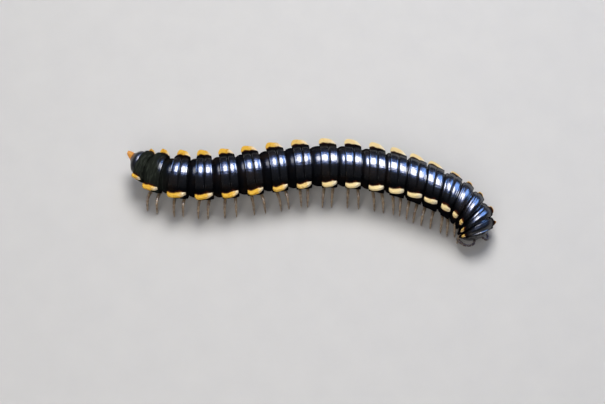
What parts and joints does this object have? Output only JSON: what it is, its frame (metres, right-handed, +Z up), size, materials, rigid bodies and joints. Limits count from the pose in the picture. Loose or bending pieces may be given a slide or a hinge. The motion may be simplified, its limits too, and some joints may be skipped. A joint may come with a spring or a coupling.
{
  "type": "long-flange millipede figure",
  "caption": "Life-size long-flange millipede in a walking pose, with ringed body, side keels, rows of jointed legs, bent-down head and feelers.",
  "frame": {"origin": "middle of the box on the floor that the feet stand on", "axes": "+X toward the head end, -Y to the side that the head bends to, +Z up"},
  "size_m": [0.0178, 0.0056, 0.0025],
  "materials": {
    "head_shell": "glossy near-black horny shell",
    "ring_shell": "glossy near-black shell with fine lengthwise wrinkles",
    "keel": "semi-gloss orange-yellow horny lobe",
    "leg": "thin, brownish, a little translucent",
    "feeler": "dark brown, finely haired, pale at the tip",
    "belly": "dull brown plates between the legs",
    "tail_tip": "semi-gloss orange cone"
  },
  "bodies": {
    "root": {"head": "head_shell", "antenna_left": "feeler", "antenna_right": "feeler", "collum": "ring_shell", "ring_02": "ring_shell", "ring_03": "ring_shell", "ring_04": "ring_shell", "ring_05": "ring_shell", "ring_06": "ring_shell", "ring_07": "ring_shell", "ring_08": "ring_shell", "ring_09": "ring_shell", "ring_10": "ring_shell", "ring_11": "ring_shell", "ring_12": "ring_shell", "ring_13": "ring_shell", "ring_14": "ring_shell", "ring_15": "ring_shell", "ring_16": "ring_shell", "ring_17": "ring_shell", "ring_18": "ring_shell", "ring_19": "ring_shell", "telson": "tail_tip"}
  },
  "joints": []
}
